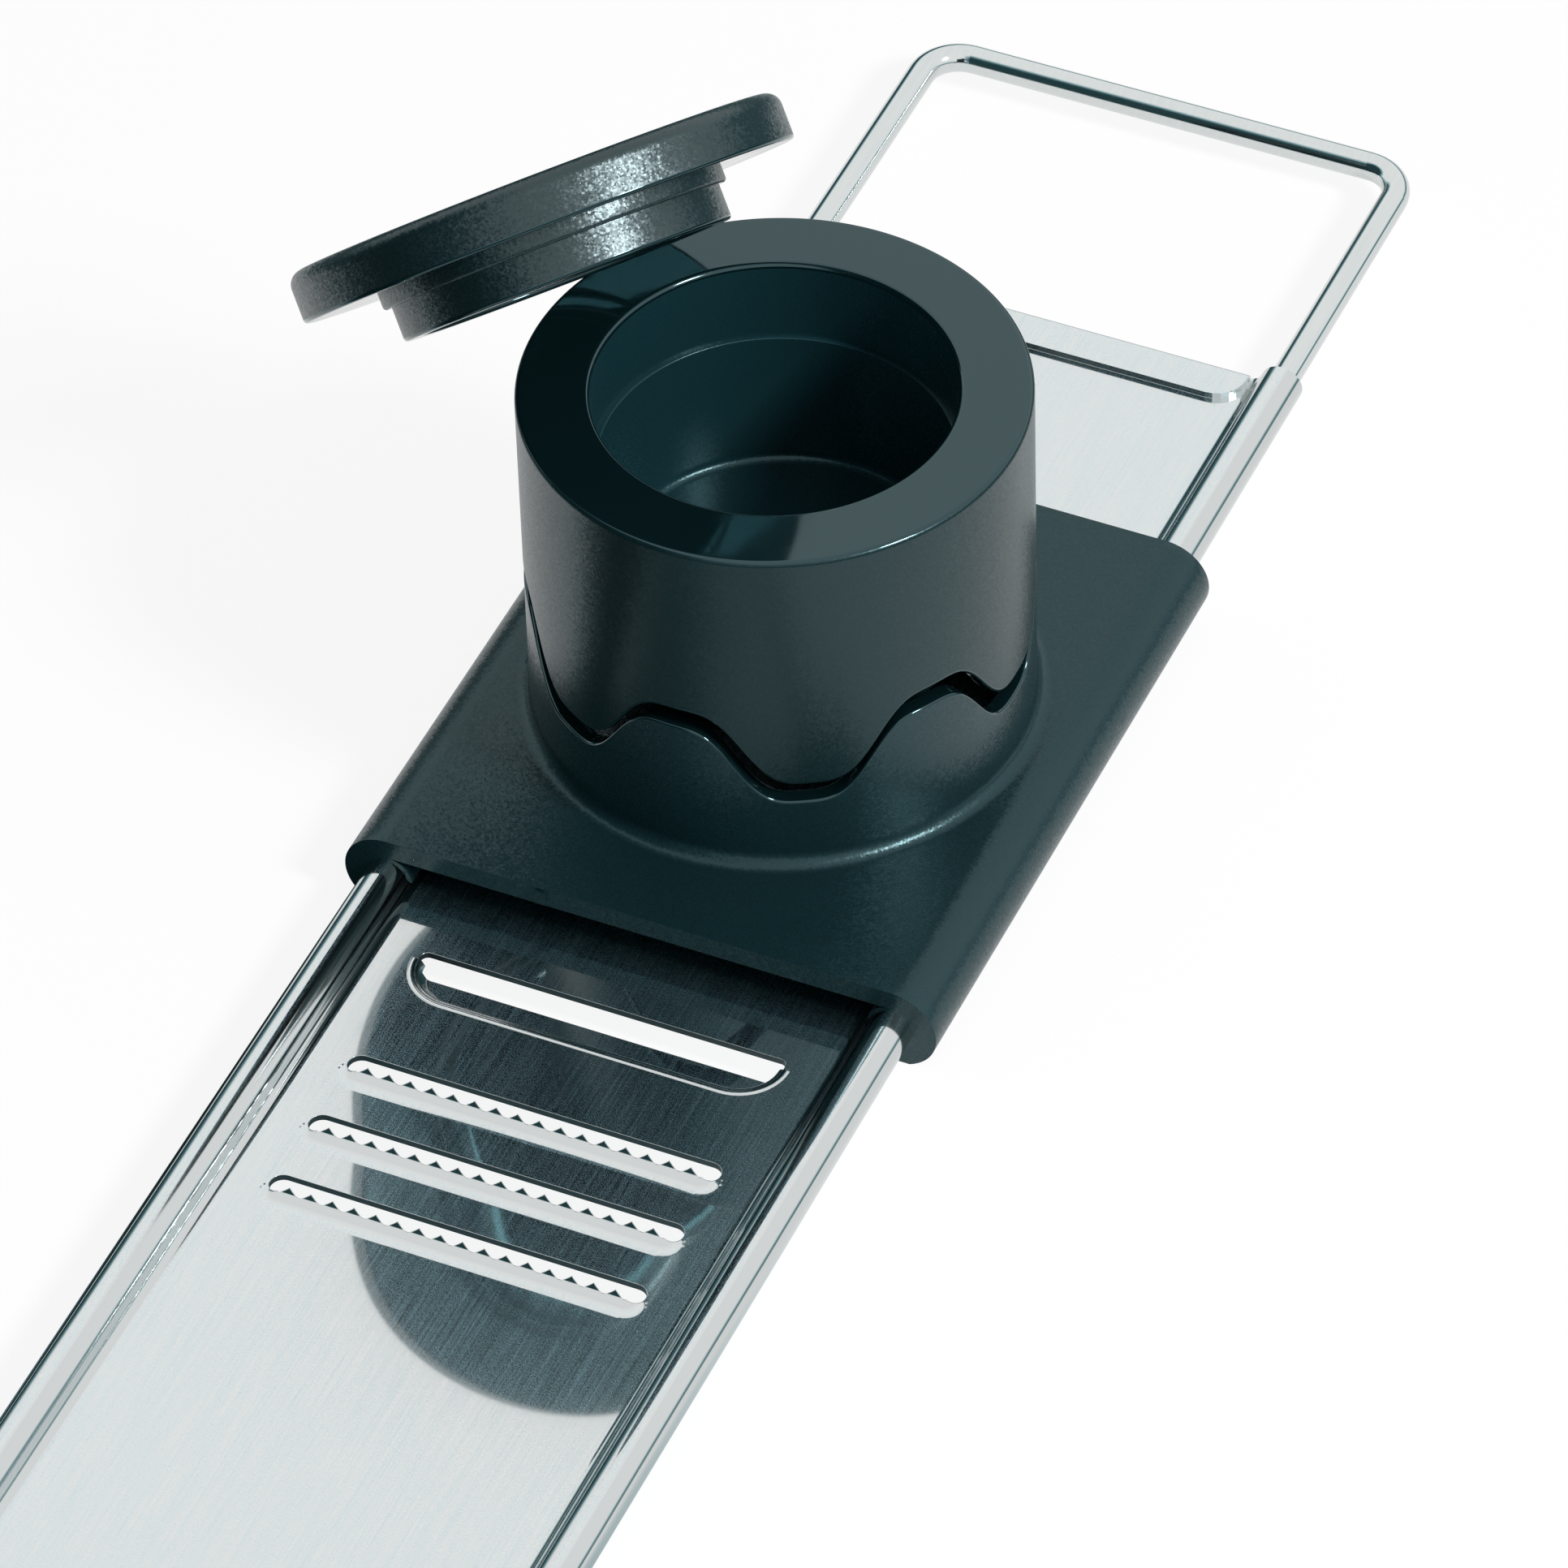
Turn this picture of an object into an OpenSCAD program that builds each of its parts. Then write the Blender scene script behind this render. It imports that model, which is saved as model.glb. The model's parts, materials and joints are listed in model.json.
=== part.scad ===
// Hand grater for hard spices: a steel plate on a wire handle, with a sled, a cup and a lid.
// The origin is on top of the plate, on the axis of the cup. +Y points along the plate to the handle.

/* [Plate] */
// Thickness of the steel sheet
plate_t = 0.55; // [0.4:0.05:0.7]
// From the outside of the cup to the centre of the rail beside it
rail_margin = 1.4; // [1.3:0.1:8]
// From the axis of the cup to the far end of the plate
far_reach = 51.9; // [40:0.1:80]
// From the axis of the cup to the near end of the plate
near_reach = 112; // [90:0.5:160]
// Depth of the folded hem at each end
hem_depth = 3.6; // [3:0.1:6]
// Corner radius of the folded hem
hem_corner = 2.6; // [0.5:0.1:2.8]
// Gap between the side of a hem and the fillet of the rail
hem_gap = 0.05; // [0.05:0.05:2]

/* [Rails and handle] */
// Diameter of the handle wire
wire_d = 2.4; // [1.8:0.1:3]
// Gap between the wire and the sheet that is rolled round it
wire_gap = 0.05; // [0.02:0.01:0.1]
// Height of the wire's centre above the top of the plate
rail_rise = 0.3; // [0:0.05:0.6]
// Radius of the fillet between the plate and a rail
rail_fillet = 1; // [0.5:0.1:1.5]
// Width of the seam where the rolled sheet ends
seam_w = 0.35; // [0.2:0.05:0.6]
// From the far end of the plate to the centre of the handle bar
handle_reach = 28; // [15:0.5:60]
// Bend radius at the corners of the handle
handle_bend = 3.4; // [2:0.1:12]
// How far the wire stays back from the near end of the rails
wire_setback = 1.5; // [0.5:0.5:10]

/* [Slicing slot] */
// From the axis of the cup to the slicing edge
slice_front = 34.1; // [33:0.1:36]
// Length of the slicing edge
slice_w = 30.9; // [20:0.1:33]
// Opening between the slicing edge and the tray
slice_gap = 1.7; // [1.2:0.1:2.5]
// From the slicing edge to the near edge of the tray
tray_len = 4.55; // [4.5:0.05:8]
// Depth of the tray below the plate
tray_depth = 1.2; // [0.8:0.1:2]
// Slope of the tray's walls in degrees
tray_slope = 60; // [45:1:65]
// Radius of the bends at the top and at the foot of the tray's walls
tray_bend = 0.4; // [0.1:0.05:0.6]
// Corner radius of the tray
tray_corner = 3.6; // [2.5:0.1:3.8]
// Width of the low ridge that the pressing raises round the tray
ridge_w = 0.5; // [0.4:0.05:0.8]
// Height of that ridge
ridge_rise = 0.08; // [0.05:0.01:0.12]
// Corner radius at the ends of the slicing edge
slice_corner = 0.6; // [0.2:0.1:0.8]

/* [Toothed slots] */
// Number of toothed slots
slot_rows = 3; // [1:1:5]
// From the axis of the cup to the far edge of the first toothed slot
slot_front = 46.1; // [45:0.1:60]
// Distance from one toothed slot to the next
slot_pitch = 6.85; // [5:0.05:10]
// Length of a toothed slot
slot_len = 31.3; // [30.5:0.1:34]
// Width of a toothed slot
slot_w = 2.1; // [1.5:0.1:3]
// Teeth on each slot
tooth_count = 16; // [4:1:16]
// From the round end of a slot to the first tooth
tooth_margin = 0.12; // [0.1:0.01:1]
// Height of the teeth above the lip
tooth_rise = 0.4; // [0.3:0.05:0.6]
// Slope of the teeth at their tips in degrees
tooth_lean = 62; // [50:1:70]
// Flat at the foot between two teeth
tooth_flat = 0.3; // [0.1:0.05:0.5]
// Height of the raised lip that carries the teeth
lip_rise = 0.45; // [0.3:0.05:0.55]
// Slope of the lip at the foot of the teeth in degrees
lip_slope = 31; // [24:1:36]

/* [Sled] */
// From the axis of the cup to the front end of the sled
sled_front = 28; // [23:0.1:32]
// From the axis of the cup to the back end of the sled
sled_back = 27.1; // [23:0.1:32]
// Wall of the sled
sled_wall = 1.75; // [1.2:0.05:2.5]
// Gap between the sled and the rails
slide_gap = 0.2; // [0.15:0.05:0.6]
// How far the hooks reach in under the rails, past the rail's centre
hook_reach = 0.4; // [0:0.1:1]
// Height of the flat cut along the bottom of each hook
hook_flat = 0.3; // [0.1:0.05:0.6]
// Width of the moulding gate on the front edge
gate_w = 0.8; // [0.4:0.1:2]
// How far the moulding gate stands out
gate_out = 0.25; // [0.1:0.05:0.5]
// Place of the moulding gate across the sled
gate_x = -8.2; // [-15:0.1:15]

/* [Collar] */
// Wall of the collar and of the cup's skirt
skirt_wall = 1.4; // [1:0.1:2]
// Number of waves round the collar
wave_count = 6; // [4:1:8]
// Lowest point of the collar's wavy edge above the plate
wave_low = 10.7; // [8:0.1:12]
// Height of the waves
wave_height = 6.65; // [3:0.05:7]
// How much the waves lean towards straight flanks
wave_flat = 0.115; // [0:0.005:0.12]
// Turn of the collar's waves in degrees
wave_turn = -1; // [-30:0.5:30]
// Radius of the fillet round the foot of the collar
collar_fillet = 1.2; // [0.4:0.1:1.25]

/* [Cup] */
// Outer diameter of the cup, the collar and the lid
cup_d = 40; // [36:0.5:44]
// Height of the cup's rim above the plate
rim_z = 35.75; // [33:0.05:50]
// Diameter of the storage bore at its mouth
bore_d = 28.5; // [24:0.1:30]
// Depth of the storage bore
bore_depth = 20; // [14:0.5:20]
// Depth of the ring step inside the bore
ring_depth = 7.4; // [5.5:0.1:12]
// Width of the ring step inside the bore
ring_w = 0.35; // [0.1:0.05:0.6]
// Thickness of the floor under the bore
floor_t = 1.8; // [1:0.1:3]
// Wall between the bore and the space inside the skirt
bore_wall = 1.7; // [1:0.1:2]
// Thickness of the cup's top
top_t = 2.2; // [1.2:0.1:4]
// Radius of the rim's edges
rim_round = 0.45; // [0.2:0.05:0.8]
// Gap between the waves of the cup and of the collar, measured upright
wave_gap = 1.6; // [1.2:0.05:3]
// Turn of the cup on the collar in degrees
cup_turn = 1.8; // [-2:0.1:2]

/* [Lid] */
// Thickness of the lid's disc
lid_t = 4; // [2.5:0.1:6]
// Radius of the lid's upper edge
lid_round = 1.2; // [0.4:0.1:2]
// Radius of the lid's lower edge
lid_under_round = 0.3; // [0.1:0.05:0.6]
// Gap between the bore and the lid's step
step_gap = 0.25; // [0.1:0.05:0.5]
// Height of the lid's step
step_h = 1.2; // [0.6:0.1:2]
// Gap between the bore and the lid's plug
plug_gap = 0.9; // [0.6:0.05:1.5]
// Height of the plug below the step
plug_h = 2.8; // [1.5:0.1:4]
// Wall of the hollow plug
plug_wall = 1.6; // [1:0.1:2.5]
// Tilt of the open lid in degrees
lid_tilt = 45.4; // [30:0.1:60]
// Direction that the open lid tilts to, in degrees from +X
lid_heading = 142.5; // [0:0.5:360]
// Turn from the lid's heading to the point of the rim where the plug perches, in degrees
perch_turn = 24.4; // [0:0.1:40]
// Turn from the lid's lowest side to the point of the plug that perches, in degrees
perch_roll = -18.75; // [-40:0.05:0]
// Gap between the perched plug and the rim
perch_gap = 0.3; // [0.2:0.05:0.6]

/* [Hidden] */
$fn = 96;
// Spare length of a cut past the face that it goes through
over = 1;
// Gap between the ridge and the edge of the tray
ridge_gap = 0.05;
// How far the gaps between the teeth cut into the lip
notch_in = 0.05;
// Crease between the lip and the teeth, and how far the teeth reach back into the lip, in degrees
tooth_crease = 12;
tooth_back = 4;
// Steps in a rounded edge and in half a wave
round_steps = 6;
wave_steps = 14;

wire_r = wire_d / 2;
roll_in = wire_r + wire_gap;
roll_out = roll_in + plate_t;
rail_x = cup_d / 2 + rail_margin;
plate_len = far_reach + near_reach;
// Half the width of the flat sheet, which ends inside the wall of each roll
sheet_half = rail_x - roll_out + plate_t / 2;
// Where the fillet of a rail meets the flat sheet
fillet_z = rail_fillet - rail_rise;
fillet_x = sqrt((roll_out + rail_fillet) * (roll_out + rail_fillet) - fillet_z * fillet_z);
hem_half = rail_x - fillet_x - hem_gap;
bar_y = far_reach + handle_reach;

tray_run = tray_depth / tan(tray_slope);
bend_run = tray_bend * tan(tray_slope / 2);
ridge_r = (ridge_w * ridge_w / 4 + ridge_rise * ridge_rise) / (2 * ridge_rise);
ridge_out = tray_corner + ridge_gap + ridge_w / 2;
tray_half = slice_w / 2 - tray_corner;
tray_y = -slice_front - tray_len + tray_corner;

lip_w = slot_len - slot_w - 2 * tooth_margin;
tooth_pitch = lip_w / tooth_count;
lip_r = lip_rise / (1 - cos(lip_slope));
lip_run = lip_r * sin(lip_slope);
tooth_start = lip_slope + tooth_crease;
tooth_r = tooth_rise / (cos(tooth_start) - cos(tooth_lean));
tooth_run = tooth_r * (sin(tooth_lean) - sin(tooth_start));

hook_in = roll_out + slide_gap;
hook_out = hook_in + sled_wall;
roof_under = rail_rise + hook_in;
roof_top = rail_rise + hook_out;
sled_bottom = rail_rise - hook_out + hook_flat;

cup_r = cup_d / 2;
skirt_in = cup_r - skirt_wall;
wave_top = wave_low + wave_height;
half_wave = 180 / wave_count;
bore_r = bore_d / 2;
step_r = bore_r - step_gap;
plug_r = bore_r - plug_gap;
plug_len = step_h + plug_h;

// Points on an arc round [x, y], from angle a to angle b
function arc(x, y, r, a, b) =
    [for (i = [0 : round_steps]) let (t = a + (b - a) * i / round_steps) [x + r * cos(t), y + r * sin(t)]];

// Section of the tray from its outer edge inwards, with a bend at the top and at the foot of the wall
function tray_wall() = concat(
    arc(0, -tray_bend, tray_bend, 90, 90 - tray_slope),
    arc(tray_run + 2 * bend_run, tray_bend - tray_depth, tray_bend, 270 - tray_slope, 270)
);

// Height of the collar's edge at an angle from the lowest point of a wave
function wave_z(a) =
    wave_low + wave_height / 2
        * (1 + (wave_flat * cos(3 * wave_count * a) - cos(wave_count * a)) / (1 - wave_flat));

// Edge of one wave drawn flat, from the middle of the wave to both sides, raised by a gap
function wave_edge(middle, gap) =
    [for (i = [-wave_steps : wave_steps]) let (a = half_wave * i / wave_steps)
        [cup_r * sin(a), wave_z(middle + a) + gap]];

// Point at angle a on a circle of the lid, of radius r and height h, with the lid tilted about its centre
function lid_point(r, h, a) =
    let (x = r * cos(a) * cos(lid_tilt) + h * sin(lid_tilt))
    let (y = r * sin(a))
    [
        x * cos(lid_heading) - y * sin(lid_heading),
        x * sin(lid_heading) + y * cos(lid_heading),
        h * cos(lid_tilt) - r * cos(a) * sin(lid_tilt)
    ];

// The lid perches on the outer edge of the rim, and the height keeps its lowest point over the cup clear
perch_dir = lid_heading + perch_turn;
perch_foot = lid_point(plug_r, -plug_len, perch_roll);
lid_x = cup_r * cos(perch_dir) - perch_foot[0];
lid_y = cup_r * sin(perch_dir) - perch_foot[1];
lid_circles = [[plug_r, -plug_len], [step_r, -step_h], [cup_r, 0]];
lid_low = min([
    for (c = lid_circles, a = [0 : 0.5 : 359.5])
        let (p = lid_point(c[0], c[1], a))
        if (norm([lid_x + p[0], lid_y + p[1]]) <= cup_r) p[2]
]);
lid_z = rim_z + perch_gap - lid_low;

// Extrudes an outline drawn in X and Z along Y
module along_y(from, to) {
    translate([0, to, 0])
        rotate([90, 0, 0])
            linear_extrude(height = to - from)
                children();
}

// Extrudes an outline drawn in Y and Z along X, evenly to both sides
module along_x(width) {
    rotate([90, 0, 90])
        linear_extrude(height = width, center = true)
            children();
}

// Makes a shape on the right and its mirror image on the left
module both_sides() {
    children();
    mirror([1, 0, 0])
        children();
}

// Sheet rolled round the wire on the right, with its fillet and its seam
module rail_outline() {
    difference() {
        translate([rail_x, rail_rise])
            circle(r = roll_out);
        translate([rail_x, rail_rise])
            circle(r = roll_in);
        translate([rail_x, rail_rise])
            rotate(228)
                translate([0, -seam_w / 2])
                    square([roll_out + over, seam_w]);
    }
    difference() {
        translate([rail_x - fillet_x, -plate_t])
            square([fillet_x - roll_out + plate_t / 2, plate_t + fillet_z]);
        translate([rail_x - fillet_x, rail_fillet])
            circle(r = rail_fillet);
        translate([rail_x, rail_rise])
            circle(r = roll_in + plate_t / 2);
    }
}

// Folded hem at the far end, with its fold in line with the end of the sheet
module hem() {
    translate([0, far_reach - plate_t, 0])
        along_x(2 * hem_half)
            circle(r = plate_t);
    linear_extrude(height = plate_t)
        polygon(concat(
            [[hem_half, far_reach - plate_t], [-hem_half, far_reach - plate_t]],
            arc(-hem_half + hem_corner, far_reach - hem_depth + hem_corner, hem_corner, 180, 270),
            arc(hem_half - hem_corner, far_reach - hem_depth + hem_corner, hem_corner, 270, 360)
        ));
}

// Space inside the sunken tray, with sloping walls and round near corners
module tray_space() {
    intersection() {
        union() {
            both_sides()
                translate([tray_half, tray_y, 0])
                    rotate_extrude()
                        polygon(concat(
                            [[0, 0]],
                            [for (p = tray_wall()) [tray_corner - p[0], p[1]]],
                            [[0, -tray_depth]]
                        ));
            along_x(2 * tray_half)
                polygon(concat(
                    [[tray_y, 0]],
                    [for (p = tray_wall()) [tray_y - tray_corner + p[0], p[1]]],
                    [[tray_y, -tray_depth]]
                ));
        }
        translate([-slice_w, tray_y - tray_corner - over, -tray_depth - over])
            cube([2 * slice_w, tray_corner + over, tray_depth + 2 * over]);
    }
}

// Opening from the slicing edge to the tray, with small round corners at the edge
module slice_cut() {
    corner_x = slice_w / 2 - slice_corner;
    corner_y = -slice_front - slice_corner;
    translate([0, 0, -plate_t - over])
        linear_extrude(height = plate_t + 2 * over)
            polygon(concat(
                arc(corner_x, corner_y, slice_corner, 0, 90),
                arc(-corner_x, corner_y, slice_corner, 90, 180),
                [[-slice_w / 2, tray_y], [slice_w / 2, tray_y]]
            ));
}

module tray() {
    difference() {
        translate([0, 0, -plate_t])
            tray_space();
        tray_space();
        translate([-slice_w, -slice_front - slice_gap, -tray_depth - plate_t - over])
            cube([2 * slice_w, tray_len, tray_depth + plate_t + 2 * over]);
    }
}

// Section of the ridge, which starts inside the sheet
module ridge_outline() {
    intersection() {
        translate([0, ridge_rise - ridge_r])
            circle(r = ridge_r);
        translate([-ridge_w, -plate_t / 2])
            square([2 * ridge_w, plate_t / 2 + ridge_rise + over]);
    }
}

// Low ridge along the near edge of the tray and round its corners
module tray_ridge() {
    both_sides()
        translate([tray_half, tray_y, 0])
            rotate([0, 0, -90])
                rotate_extrude(angle = 90)
                    translate([ridge_out, 0])
                        ridge_outline();
    translate([0, tray_y - ridge_out, 0])
        along_x(2 * tray_half)
            ridge_outline();
}

// Outline of one toothed slot, with round ends
module slot_outline() {
    square([slot_len - slot_w, slot_w], center = true);
    both_sides()
        translate([slot_len / 2 - slot_w / 2, 0])
            circle(d = slot_w);
}

// Opening of one toothed slot, and the gap that its lip fills
module slot_cut(y) {
    lip_y = y - slot_w;
    translate([0, 0, -plate_t - over])
        linear_extrude(height = plate_t + 2 * over) {
            translate([0, y - slot_w / 2])
                slot_outline();
            translate([-lip_w / 2, lip_y - lip_run])
                square([lip_w, lip_run + slot_w / 2]);
            both_sides()
                intersection() {
                    translate([lip_w / 2, lip_y])
                        circle(r = lip_run);
                    translate([lip_w / 2, lip_y - lip_run])
                        square(2 * lip_run);
                }
        }
}

// Section of sheet that is bent upwards round the origin, from one slope to another
module bent_sheet(r, from, to) {
    reach = 2 * (r + plate_t);
    intersection() {
        difference() {
            circle(r = r + plate_t);
            circle(r = r);
        }
        polygon([[0, 0], reach * [sin(from), -cos(from)], reach * [sin(to), -cos(to)]]);
    }
}

// Rounded end of a lip, which runs out into the flat sheet
module lip_end(y) {
    difference() {
        translate([lip_w / 2, y - slot_w, 0])
            rotate([0, 0, -90])
                rotate_extrude(angle = 180)
                    intersection() {
                        translate([lip_run, lip_r])
                            difference() {
                                circle(r = lip_r + plate_t);
                                circle(r = lip_r);
                            }
                        translate([0, -plate_t - over])
                            square([lip_run, plate_t + over + lip_r]);
                    }
        translate([0, y - slot_w / 2, -plate_t - over])
            linear_extrude(height = plate_t + lip_rise + 2 * over)
                slot_outline();
    }
}

// Lip that curves up to the near side of a slot, and the comb of teeth that curves on from its edge
module toothed_lip(y) {
    foot = tooth_flat / 2;
    side = lip_w / 2 + over;
    top = lip_rise + tooth_rise + over;
    translate([0, y - slot_w, 0])
        difference() {
            along_x(lip_w) {
                translate([-lip_run, lip_r])
                    bent_sheet(lip_r, 0, lip_slope);
                translate([-tooth_r * sin(tooth_start), lip_rise + tooth_r * cos(tooth_start)])
                    bent_sheet(tooth_r, tooth_start - tooth_back, tooth_lean);
            }
            translate([0, 0, -plate_t - over])
                linear_extrude(height = plate_t + over + top)
                    polygon(concat(
                        [[-side, tooth_run + over], [-side, -notch_in]],
                        [for (i = [0 : tooth_count - 1], p = [
                            [foot, -notch_in],
                            [tooth_pitch / 2, tooth_run],
                            [tooth_pitch - foot, -notch_in]
                        ]) [i * tooth_pitch - lip_w / 2 + p[0], p[1]]],
                        [[side, -notch_in], [side, tooth_run + over]]
                    ));
        }
    both_sides()
        lip_end(y);
}

module grater_plate() {
    color("silver") {
        difference() {
            translate([-sheet_half, -near_reach + plate_t, -plate_t])
                cube([2 * sheet_half, plate_len - 2 * plate_t, plate_t]);
            tray_space();
            slice_cut();
            for (i = [0 : slot_rows - 1])
                slot_cut(-slot_front - i * slot_pitch);
        }
        both_sides()
            along_y(-near_reach, far_reach)
                rail_outline();
        tray();
        tray_ridge();
        for (i = [0 : slot_rows - 1])
            toothed_lip(-slot_front - i * slot_pitch);
        hem();
        translate([0, far_reach - near_reach, 0])
            mirror([0, 1, 0])
                hem();
    }
}

module handle_wire() {
    leg_end = bar_y - handle_bend;
    leg_start = -near_reach + wire_setback;
    color("gainsboro")
        translate([0, 0, rail_rise]) {
            both_sides() {
                translate([rail_x, leg_end, 0])
                    rotate([90, 0, 0])
                        cylinder(h = leg_end - leg_start, r = wire_r);
                translate([rail_x - handle_bend, leg_end, 0])
                    rotate_extrude(angle = 90)
                        translate([handle_bend, 0])
                            circle(r = wire_r);
            }
            translate([0, bar_y, 0])
                rotate([0, 90, 0])
                    cylinder(h = 2 * (rail_x - handle_bend), r = wire_r, center = true);
        }
}

// Section of the sled: a flat roof, and a hook round each rail that is cut flat below
module sled_outline() {
    translate([-rail_x, roof_under])
        square([2 * rail_x, sled_wall]);
    both_sides()
        intersection() {
            difference() {
                translate([rail_x, rail_rise])
                    circle(r = hook_out);
                translate([rail_x, rail_rise])
                    circle(r = hook_in);
            }
            union() {
                translate([rail_x - hook_reach, sled_bottom])
                    square([hook_out + hook_reach + over, hook_out]);
                translate([rail_x, rail_rise])
                    square(hook_out + over);
            }
        }
}

// Cut through the wall of the collar or the skirt, from the edge of one wave to past the end of the wall
module wave_cut(edge, end, past) {
    side = cup_r * sin(half_wave) + over;
    translate([skirt_in - over, 0, 0])
        rotate([90, 0, 90])
            linear_extrude(height = skirt_wall + 2 * over)
                polygon(concat([[-side, end]], edge, [[side, end], [side, past], [-side, past]]));
}

module collar() {
    difference() {
        rotate_extrude()
            polygon(concat(
                [[skirt_in, roof_under], [cup_r + collar_fillet, roof_under]],
                arc(cup_r + collar_fillet, roof_top + collar_fillet, collar_fillet, 270, 180),
                [[cup_r, wave_top], [skirt_in, wave_top]]
            ));
        for (i = [0 : wave_count - 1])
            rotate([0, 0, wave_turn + 2 * half_wave * i])
                wave_cut(wave_edge(0, 0), wave_top, wave_top + over);
    }
}

module sled() {
    color([0.08, 0.1, 0.11]) {
        difference() {
            along_y(-sled_front, sled_back)
                sled_outline();
            translate([0, 0, roof_under - over])
                cylinder(h = sled_wall + 2 * over, r = skirt_in);
        }
        collar();
        translate([gate_x - gate_w / 2, -sled_front - gate_out, roof_under])
            cube([gate_w, 2 * gate_out, sled_wall]);
    }
}

module cup() {
    bore_floor = rim_z - bore_depth;
    core_r = bore_r + bore_wall;
    low = wave_low + wave_gap;
    color([0.13, 0.17, 0.17])
        difference() {
            rotate_extrude()
                polygon(concat(
                    [[cup_r, low]],
                    arc(cup_r - rim_round, rim_z - rim_round, rim_round, 0, 90),
                    arc(bore_r + rim_round, rim_z - rim_round, rim_round, 90, 180),
                    [
                        [bore_r, rim_z - ring_depth],
                        [bore_r - ring_w, rim_z - ring_depth],
                        [bore_r - ring_w, bore_floor],
                        [0, bore_floor],
                        [0, bore_floor - floor_t],
                        [core_r, bore_floor - floor_t],
                        [core_r, rim_z - top_t],
                        [skirt_in, rim_z - top_t],
                        [skirt_in, low]
                    ]
                ));
            for (i = [0 : wave_count - 1])
                rotate([0, 0, wave_turn + cup_turn + half_wave * (2 * i + 1)])
                    wave_cut(wave_edge(half_wave, wave_gap), low, low - over);
        }
}

// Disc with a step and a hollow plug below it, tilted on the rim
module lid() {
    color([0.22, 0.27, 0.27])
        translate([lid_x, lid_y, lid_z])
            rotate([0, lid_tilt, lid_heading])
                rotate_extrude()
                    polygon(concat(
                        [[0, 0], [plug_r - plug_wall, 0]],
                        [[plug_r - plug_wall, -plug_len], [plug_r, -plug_len]],
                        [[plug_r, -step_h], [step_r, -step_h], [step_r, 0]],
                        arc(cup_r - lid_under_round, lid_under_round, lid_under_round, 270, 360),
                        arc(cup_r - lid_round, lid_t - lid_round, lid_round, 0, 90),
                        [[0, lid_t]]
                    ));
}

grater_plate();
handle_wire();
sled();
cup();
lid();
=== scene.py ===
import json
import math
import bmesh
import bpy
from mathutils import Matrix, Vector


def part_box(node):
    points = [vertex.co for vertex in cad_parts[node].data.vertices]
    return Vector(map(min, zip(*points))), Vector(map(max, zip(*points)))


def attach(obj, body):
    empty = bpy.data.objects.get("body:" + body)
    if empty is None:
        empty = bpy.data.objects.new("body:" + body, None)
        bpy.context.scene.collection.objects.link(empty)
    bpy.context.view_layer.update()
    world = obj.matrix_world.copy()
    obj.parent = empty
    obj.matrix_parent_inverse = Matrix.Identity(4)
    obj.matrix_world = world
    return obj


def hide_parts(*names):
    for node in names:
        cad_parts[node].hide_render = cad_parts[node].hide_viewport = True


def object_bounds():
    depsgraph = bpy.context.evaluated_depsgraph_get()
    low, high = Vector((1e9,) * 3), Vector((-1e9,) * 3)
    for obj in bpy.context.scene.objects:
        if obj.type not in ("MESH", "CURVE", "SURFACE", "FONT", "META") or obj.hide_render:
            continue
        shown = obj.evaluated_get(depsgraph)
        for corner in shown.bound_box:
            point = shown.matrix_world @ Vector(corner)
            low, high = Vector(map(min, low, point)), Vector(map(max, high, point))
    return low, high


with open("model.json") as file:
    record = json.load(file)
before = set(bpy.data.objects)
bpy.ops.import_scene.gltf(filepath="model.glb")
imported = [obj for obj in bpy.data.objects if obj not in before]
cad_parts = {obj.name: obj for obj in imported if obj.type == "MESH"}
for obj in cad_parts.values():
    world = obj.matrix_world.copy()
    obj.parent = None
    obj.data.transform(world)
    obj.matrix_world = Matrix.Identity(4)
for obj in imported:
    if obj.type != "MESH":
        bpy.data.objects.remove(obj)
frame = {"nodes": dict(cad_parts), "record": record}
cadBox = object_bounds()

mm = 0.001
turnSteps = 432         # faces round a turned piece, a whole number for each wave
roundSteps = 6          # faces across a rounded edge
tiny = 1e-4             # lengths in mm and shares below this count as none
smoothAngle = math.radians(32)
print("frame loaded:", sorted(frame["nodes"]))


# Colours are written as sRGB hex and turned to linear
def hexColour(code):
    parts = [int(code[i:i + 2], 16) / 255 for i in (1, 3, 5)]
    linear = [c / 12.92 if c <= 0.04045 else ((c + 0.055) / 1.055) ** 2.4 for c in parts]
    return (*linear, 1.0)


# Adds one node, with its settings, its socket values and its links
def addNode(tree, kind, values=None, links=None, **settings):
    node = tree.nodes.new(kind)
    for name, value in settings.items():
        setattr(node, name, value)
    for socket, value in (values or {}).items():
        node.inputs[socket].default_value = value
    for socket, source in (links or {}).items():
        tree.links.new(source, node.inputs[socket])
    return node


def newMaterial(name):
    material = bpy.data.materials.new(name)
    material.use_nodes = True
    material.node_tree.nodes.clear()
    return material, material.node_tree


# Object coordinates in which a pattern of this width and length in mm is one unit, lengthwise along the part
def patternSpace(tree, width, length):
    place = addNode(tree, "ShaderNodeTexCoord")
    scale = [1 / (size * mm) for size in (width, length, width)]
    space = addNode(tree, "ShaderNodeMapping", {"Scale": scale}, {"Vector": place.outputs["Object"]})
    return space.outputs[0]


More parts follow.
